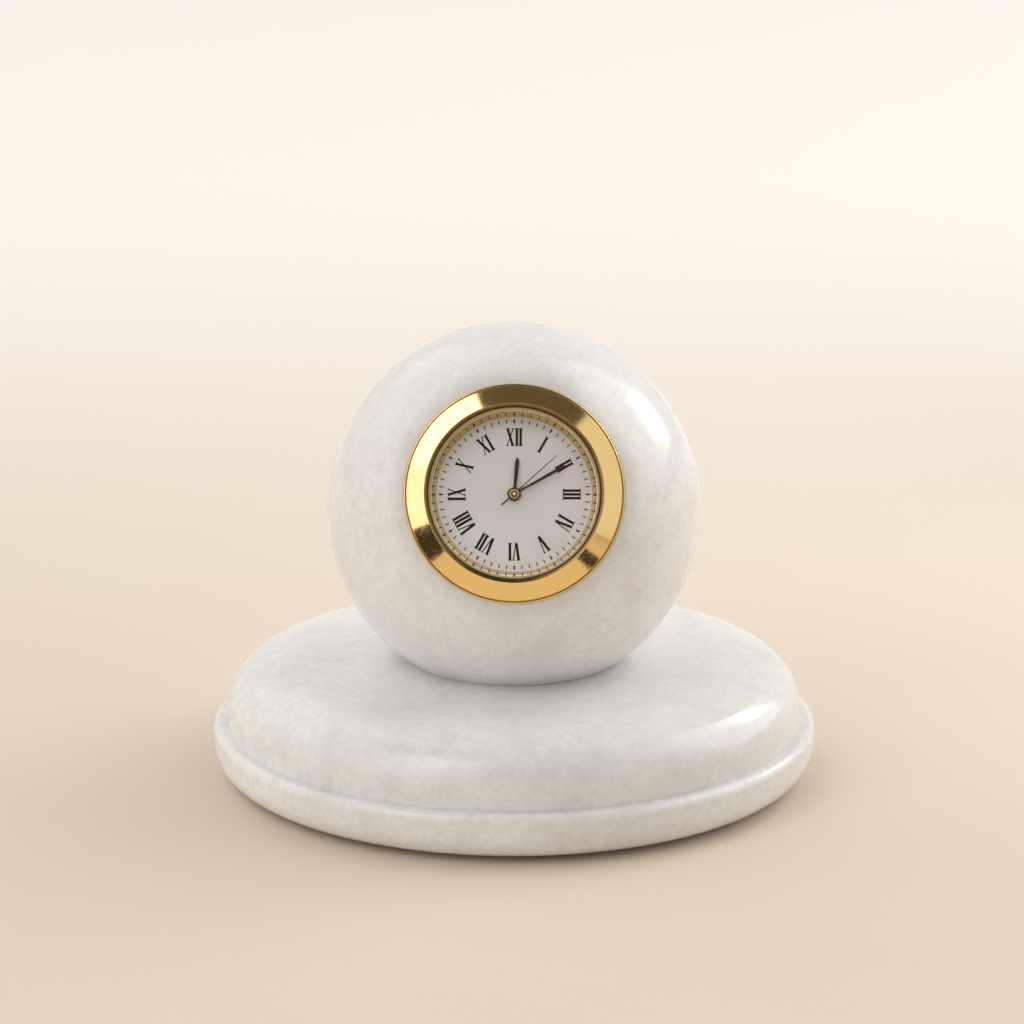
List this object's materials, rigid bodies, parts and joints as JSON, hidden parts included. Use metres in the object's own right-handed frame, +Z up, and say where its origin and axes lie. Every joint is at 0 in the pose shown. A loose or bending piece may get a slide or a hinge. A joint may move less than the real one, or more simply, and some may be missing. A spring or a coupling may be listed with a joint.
{
  "type": "desk clock",
  "caption": "Polished stone ball on a stepped domed base, with a push-in quartz insert: gold bezel, Roman dial, hands, wheel train and a pull-out crown.",
  "frame": {"origin": "on the table under the middle of the base", "axes": "+Z up; the dial faces -Y and is tilted up 21.9 degrees; +X to the viewer's right"},
  "size_m": [0.099, 0.099, 0.0751],
  "materials": {
    "marble": "polished",
    "felt": "soft",
    "zinc_steel": "satin",
    "gold_plate": "polished",
    "case_brass": "satin",
    "hand_gold": "polished",
    "mineral_glass": "clear",
    "clear_gasket": "translucent",
    "dial_paint": "satin",
    "black_rubber": "matt",
    "back_steel": "brushed",
    "white_nylon": "satin",
    "grey_plastic": "satin",
    "cell_steel": "polished",
    "magnet": "satin",
    "copper_wire": "enamelled",
    "board_green": "semi-gloss",
    "chip_resin": "matt"
  },
  "bodies": {
    "stand": {"stone_base": "marble", "felt_pad": "felt", "stone_ball": "marble", "joining_stud": "zinc_steel", "stud_washer": "zinc_steel", "stud_nut": "zinc_steel"},
    "insert": {"bezel": "gold_plate", "crystal": "mineral_glass", "crystal_gasket": "clear_gasket", "rehaut_ring": "gold_plate", "dial": "dial_paint", "insert_case": "case_brass", "retaining_ring": "black_rubber", "case_back": "back_steel", "back_gasket": "black_rubber", "movement_holder": "white_nylon", "main_plate": "grey_plastic", "train_bridge": "grey_plastic", "bridge_screws": "zinc_steel", "dial_washer": "case_brass", "battery": "cell_steel", "battery_clamp": "zinc_steel", "stator": "zinc_steel", "coil_core": "zinc_steel", "coil": "copper_wire", "circuit_board": "board_green", "quartz_can": "cell_steel", "driver_chip": "chip_resin", "crown_tube": "case_brass"},
    "seconds": {"second_wheel": "white_nylon", "second_hand": "hand_gold"},
    "minutes": {"centre_wheel": "case_brass", "cannon_pinion": "case_brass", "minute_hand": "hand_gold"},
    "hours": {"hour_wheel": "white_nylon", "hour_hand": "hand_gold"},
    "third_arbor": {"third_wheel": "white_nylon"},
    "fifth_arbor": {"fifth_wheel": "white_nylon"},
    "rotor_arbor": {"rotor": "magnet"},
    "minute_post": {"minute_wheel": "white_nylon"},
    "setting_post": {"setting_wheel": "white_nylon"},
    "stem_slide": {"stem_seal": "black_rubber"},
    "crown_and_stem": {"crown": "gold_plate", "stem": "zinc_steel"},
    "clutch": {"sliding_pinion": "white_nylon"},
    "lever": {"setting_lever": "zinc_steel"},
    "clutch_yoke": {"yoke": "zinc_steel"}
  },
  "joints": [
    {"name": "insert_pull", "type": "slide", "parent": "stand", "child": "insert", "axis": [0, -0.9278, 0.373], "range_m": [0, 0.009]},
    {"name": "second_spin", "type": "hinge", "parent": "insert", "child": "seconds", "pos_m": [0, -0.02292, 0.0539], "axis": [0, 0.9278, -0.373], "continuous": true},
    {"name": "minute_spin", "type": "hinge", "parent": "insert", "child": "minutes", "pos_m": [0, -0.02292, 0.0539], "axis": [0, 0.9278, -0.373], "continuous": true},
    {"name": "hour_spin", "type": "hinge", "parent": "insert", "child": "hours", "pos_m": [0, -0.02292, 0.0539], "axis": [0, 0.9278, -0.373], "continuous": true},
    {"name": "third_wheel_spin", "type": "hinge", "parent": "insert", "child": "third_arbor", "pos_m": [-0.00229, -0.0219, 0.05644], "axis": [0, 0.9278, -0.373], "continuous": true},
    {"name": "fifth_wheel_spin", "type": "hinge", "parent": "insert", "child": "fifth_arbor", "pos_m": [-0.00124, -0.02419, 0.05075], "axis": [0, 0.9278, -0.373], "continuous": true},
    {"name": "rotor_spin", "type": "hinge", "parent": "insert", "child": "rotor_arbor", "pos_m": [0.00097, -0.02488, 0.04904], "axis": [0, 0.9278, -0.373], "continuous": true},
    {"name": "minute_wheel_spin", "type": "hinge", "parent": "insert", "child": "minute_post", "pos_m": [0.00283, -0.02341, 0.05268], "axis": [0, 0.9278, -0.373], "continuous": true},
    {"name": "setting_wheel_spin", "type": "hinge", "parent": "insert", "child": "setting_post", "pos_m": [0.0058, -0.02292, 0.0539], "axis": [0, 0.9278, -0.373], "continuous": true},
    {"name": "crown_pull", "type": "slide", "parent": "insert", "child": "stem_slide", "axis": [1, 0, 0], "range_m": [0, 0.0008]},
    {"name": "crown_turn", "type": "hinge", "parent": "stem_slide", "child": "crown_and_stem", "pos_m": [0, -0.01944, 0.0525], "axis": [1, 0, 0], "continuous": true},
    {"name": "clutch_shift", "type": "slide", "parent": "crown_and_stem", "child": "clutch", "axis": [1, 0, 0], "range_m": [-0.0013, 0]},
    {"name": "setting_lever_turn", "type": "hinge", "parent": "insert", "child": "lever", "pos_m": [0.00971, -0.02218, 0.05576], "axis": [0, -0.9278, 0.373], "range_deg": [0, 22.62]},
    {"name": "yoke_turn", "type": "hinge", "parent": "insert", "child": "clutch_yoke", "pos_m": [0.00756, -0.02389, 0.05149], "axis": [0, -0.9278, 0.373], "range_deg": [0, 10.99]}
  ],
  "couplings": [
    {"joint": "minute_spin", "follows": "second_spin", "ratio": 0.016667},
    {"joint": "hour_spin", "follows": "second_spin", "ratio": 0.0013889},
    {"joint": "third_wheel_spin", "follows": "second_spin", "ratio": -0.13333},
    {"joint": "fifth_wheel_spin", "follows": "second_spin", "ratio": -6},
    {"joint": "rotor_spin", "follows": "second_spin", "ratio": 30},
    {"joint": "minute_wheel_spin", "follows": "second_spin", "ratio": -0.0055556},
    {"joint": "setting_wheel_spin", "follows": "second_spin", "ratio": 0.014286},
    {"joint": "clutch_shift", "follows": "crown_pull", "ratio": -1.625},
    {"joint": "setting_lever_turn", "follows": "crown_pull", "rad_per_m": 493.49},
    {"joint": "yoke_turn", "follows": "crown_pull", "rad_per_m": 239.65}
  ]
}
